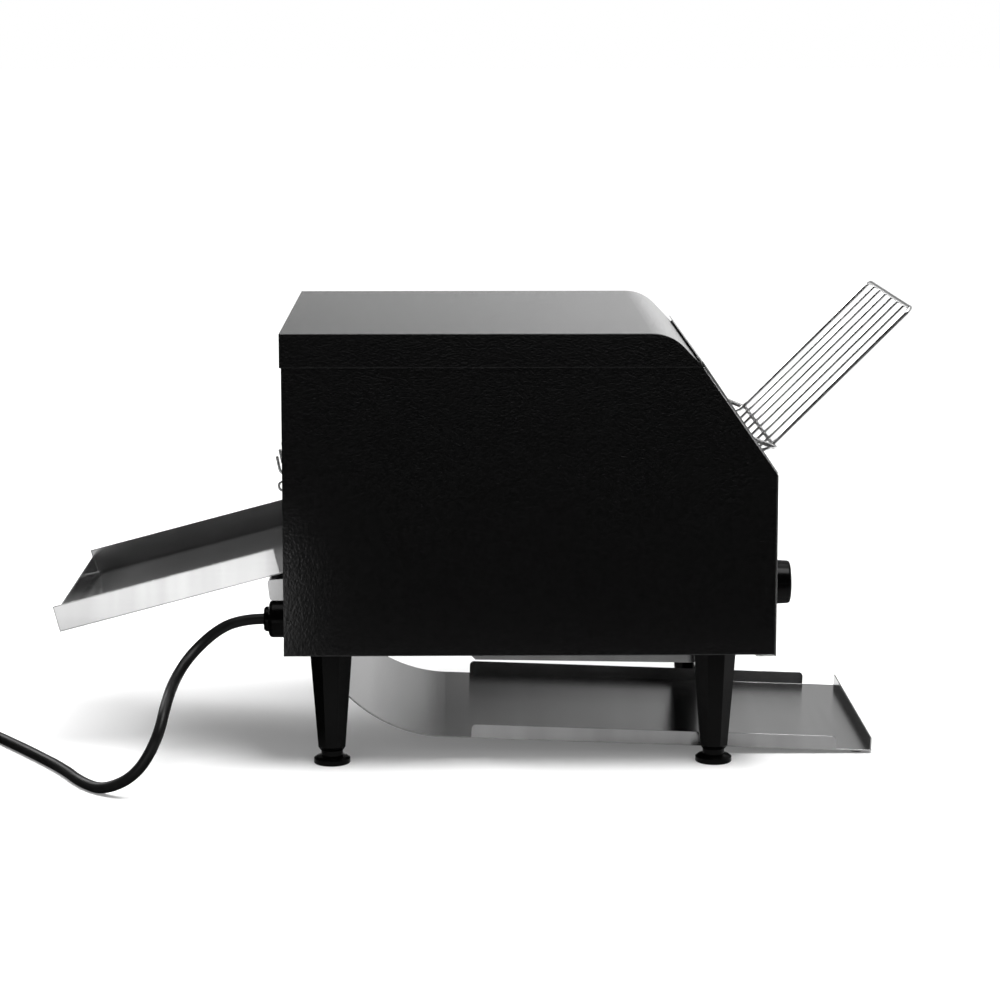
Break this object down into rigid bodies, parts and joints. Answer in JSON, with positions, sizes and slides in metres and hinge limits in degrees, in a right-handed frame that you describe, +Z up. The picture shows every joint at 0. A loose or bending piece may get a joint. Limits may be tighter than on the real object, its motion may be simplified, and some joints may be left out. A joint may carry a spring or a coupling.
{
  "type": "conveyor toaster",
  "caption": "Bench-top conveyor toaster with a sloping wire loading rack, a wire belt between heating tubes, a toast chute, a rear tray, a crumb drawer and tapered legs with levelling feet.",
  "frame": {"origin": "on the table under the middle of the toaster, halfway between the end of the rear tray and the top of the loading rack, cord left out", "axes": "+X towards the loading side, +Y to the right of someone facing that side, +Z up"},
  "size_m": [0.9429, 0.447, 0.394],
  "materials": {
    "black_paint": "fine textured black powder coat",
    "stainless": "fine brushed stainless sheet",
    "inner_sheet": "plain aluminised sheet",
    "bright_wire": "bright plated wire",
    "steel": "machined steel",
    "black_plastic": "fine moulded grain",
    "black_rubber": "smooth matt rubber",
    "quartz": "clear quartz tube",
    "heating_wire": "oxidised heating wire",
    "ceramic": null,
    "motor_metal": "grey zinc plate",
    "lamp_lens": "amber lens",
    "terminal_plastic": "moulded plastic",
    "pin_metal": "plated brass"
  },
  "bodies": {
    "cabinet": {"top_cover": "black_paint", "side_panel_left": "black_paint", "side_panel_right": "black_paint", "rear_panel": "stainless", "front_panel": "stainless", "slope_bezel": "stainless", "base_plate": "stainless", "chamber_wall_left": "inner_sheet", "chamber_wall_right": "inner_sheet", "upper_reflector": "inner_sheet", "lower_reflector": "inner_sheet", "control_box_cover": "inner_sheet", "toast_guide_outer": "stainless", "toast_guide_inner": "stainless", "quartz_tubes_upper": "quartz", "quartz_tubes_lower": "quartz", "element_filaments": "heating_wire", "element_caps": "ceramic", "conveyor_belt": "bright_wire", "drive_chain": "steel", "shaft_bushes": "steel", "motor_bracket": "inner_sheet", "gear_motor": "motor_metal", "tray_bracket": "stainless", "crumb_runners": "inner_sheet", "leg_bolts": "steel", "legs": "black_plastic", "speed_control": "black_plastic", "selector_switch": "black_plastic", "indicator_lamps": "lamp_lens", "fan_frame": "black_plastic", "terminal_block": "terminal_plastic", "cable_gland": "black_plastic", "cord": "black_rubber", "cord_coil": "black_rubber", "cord_tail": "black_rubber", "plug": "black_rubber", "plug_pins": "pin_metal"},
    "drive": {"drive_shaft": "steel", "drive_sprockets": "steel", "driven_chain_sprocket": "steel"},
    "idler": {"idler_shaft": "steel", "idler_sprockets": "steel"},
    "motor_output": {"motor_shaft": "steel", "motor_sprocket": "steel"},
    "fan_wheel": {"fan_rotor": "black_plastic"},
    "speed_dial": {"speed_knob": "black_plastic", "speed_shaft": "steel"},
    "selector_dial": {"selector_knob": "black_plastic", "selector_shaft": "steel"},
    "gate": {"rear_gate": "bright_wire"},
    "rack": {"loading_rack": "bright_wire"},
    "rear_slide": {"rear_tray": "stainless"},
    "chute": {"toast_chute": "stainless", "chute_pads": "black_rubber"},
    "crumb_drawer": {"crumb_tray": "stainless"},
    "levelling_rear_left": {"foot_rear_left": "black_plastic"},
    "levelling_rear_right": {"foot_rear_right": "black_plastic"},
    "levelling_front_left": {"foot_front_left": "black_plastic"},
    "levelling_front_right": {"foot_front_right": "black_plastic"}
  },
  "joints": [
    {"name": "drive_spin", "type": "hinge", "parent": "cabinet", "child": "drive", "pos_m": [-0.07959, 0, 0.22626], "axis": [0, 1, 0], "continuous": true, "deforming": ["conveyor_belt", "drive_chain"]},
    {"name": "idler_spin", "type": "hinge", "parent": "cabinet", "child": "idler", "pos_m": [0.19029, 0, 0.22626], "axis": [0, 1, 0], "continuous": true},
    {"name": "motor_spin", "type": "hinge", "parent": "cabinet", "child": "motor_output", "pos_m": [-0.07959, 0.1395, 0.15006], "axis": [0, 1, 0], "continuous": true},
    {"name": "fan_spin", "type": "hinge", "parent": "cabinet", "child": "fan_wheel", "pos_m": [0.10229, 0.1701, 0.176], "axis": [0, 1, 0], "continuous": true},
    {"name": "speed_turn", "type": "hinge", "parent": "cabinet", "child": "speed_dial", "pos_m": [0.24829, 0.1, 0.1492], "axis": [-1, 0, 0], "range_deg": [0, 270]},
    {"name": "selector_turn", "type": "hinge", "parent": "cabinet", "child": "selector_dial", "pos_m": [0.24829, -0.1, 0.1492], "axis": [-1, 0, 0], "range_deg": [0, 180]},
    {"name": "gate_swing", "type": "hinge", "parent": "cabinet", "child": "gate", "pos_m": [-0.15971, 0, 0.246], "axis": [0, 1, 0], "range_deg": [0, 70]},
    {"name": "rack_lift", "type": "slide", "parent": "cabinet", "child": "rack", "axis": [0.7071, 0, 0.7071], "range_m": [0, 0.08]},
    {"name": "rear_tray_lift", "type": "slide", "parent": "cabinet", "child": "rear_slide", "axis": [-0.1392, 0, 0.9903], "range_m": [0, 0.06]},
    {"name": "chute_slide", "type": "slide", "parent": "cabinet", "child": "chute", "axis": [1, 0, 0], "range_m": [0, 0.12]},
    {"name": "crumb_tray_slide", "type": "slide", "parent": "cabinet", "child": "crumb_drawer", "axis": [1, 0, 0], "range_m": [0, 0.2]},
    {"name": "levelling_rear_left_screw", "type": "slide", "parent": "cabinet", "child": "levelling_rear_left", "axis": [0, 0, -1], "range_m": [0, 0.01]},
    {"name": "levelling_rear_right_screw", "type": "slide", "parent": "cabinet", "child": "levelling_rear_right", "axis": [0, 0, -1], "range_m": [0, 0.01]},
    {"name": "levelling_front_left_screw", "type": "slide", "parent": "cabinet", "child": "levelling_front_left", "axis": [0, 0, -1], "range_m": [0, 0.01]},
    {"name": "levelling_front_right_screw", "type": "slide", "parent": "cabinet", "child": "levelling_front_right", "axis": [0, 0, -1], "range_m": [0, 0.01]}
  ],
  "couplings": [
    {"joint": "idler_spin", "follows": "drive_spin", "ratio": 1},
    {"joint": "motor_spin", "follows": "drive_spin", "ratio": 1}
  ]
}
